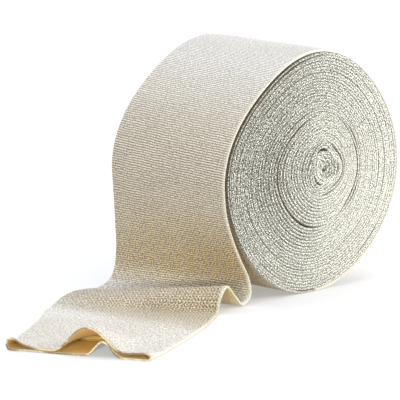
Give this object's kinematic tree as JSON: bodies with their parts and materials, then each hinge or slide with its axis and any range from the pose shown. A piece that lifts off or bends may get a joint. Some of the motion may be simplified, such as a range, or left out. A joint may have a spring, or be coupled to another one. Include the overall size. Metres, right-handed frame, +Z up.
{
  "type": "tubular support bandage roll",
  "caption": "Cream knitted tubular support bandage wound into a roll lying on its side, its free end drawn over one wave to an open, raised mouth.",
  "frame": {"origin": "middle of the small flat under the roll, on the surface it rests on", "axes": "+X along the roll's axis towards the end face beside which the free end turns, +Z up, and the free end leaves the roll towards -Y"},
  "size_m": [0.1646, 0.3235, 0.1559],
  "materials": {
    "knitted_tube": "ribbed unbleached cotton knit, matt"
  },
  "bodies": {
    "root": {"wound_roll": "knitted_tube", "loose_end": "knitted_tube"}
  },
  "joints": []
}
